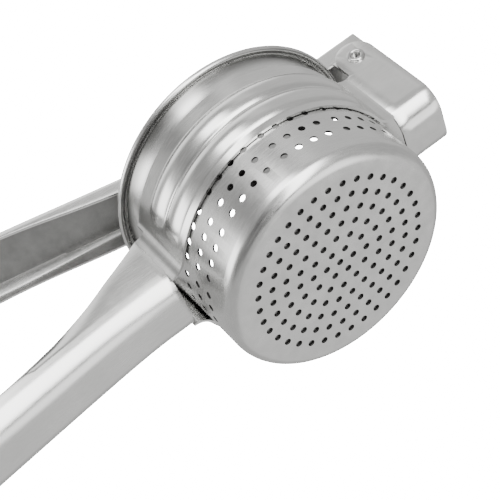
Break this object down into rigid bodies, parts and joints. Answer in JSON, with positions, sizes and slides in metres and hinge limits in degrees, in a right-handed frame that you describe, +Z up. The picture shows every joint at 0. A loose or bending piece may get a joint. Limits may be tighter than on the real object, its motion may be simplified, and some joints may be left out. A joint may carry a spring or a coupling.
{
  "type": "potato ricer",
  "caption": "Hand-held press: a perforated steel basket in a pressed band, with hinged channel handles and a swinging round press plate.",
  "frame": {"origin": "middle of the underside of the basket's floor, on the basket axis", "axes": "+Z up the basket axis towards its mouth, +X towards the handle hinge, the handles run towards -X, +Y to the side"},
  "size_m": [0.2894, 0.0916, 0.122],
  "materials": {
    "basket_steel": "satin, slightly mottled",
    "band_steel": "satin, polished on the beads",
    "handle_steel": "satin",
    "rivet_steel": "bright, turned",
    "bracket_steel": "satin",
    "plate_steel": "satin"
  },
  "bodies": {
    "frame": {"band": "band_steel", "lower_handle": "handle_steel", "hinge_pin": "rivet_steel"},
    "handle": {"upper_handle": "handle_steel", "hinge_spacer": "rivet_steel", "hanger_bracket": "bracket_steel", "pivot_pin": "rivet_steel"},
    "plunger": {"press_plate": "plate_steel", "plate_bracket": "bracket_steel", "pivot_spacer": "rivet_steel"},
    "cup": {"basket": "basket_steel"}
  },
  "joints": [
    {"name": "handle_hinge", "type": "hinge", "parent": "frame", "child": "handle", "pos_m": [0.0543, 0, 0.058], "axis": [0, 1, 0], "range_deg": [0, 60]},
    {"name": "plate_swivel", "type": "hinge", "parent": "handle", "child": "plunger", "pos_m": [0.005, 0, 0.032], "axis": [0, 1, 0], "range_deg": [-85.8, 0]},
    {"name": "basket_turn", "type": "hinge", "parent": "frame", "child": "cup", "pos_m": [0, 0, 0.03], "axis": [0, 0, 1], "continuous": true}
  ],
  "couplings": [
    {"joint": "plate_swivel", "follows": "handle_hinge", "ratio": -1.43}
  ]
}
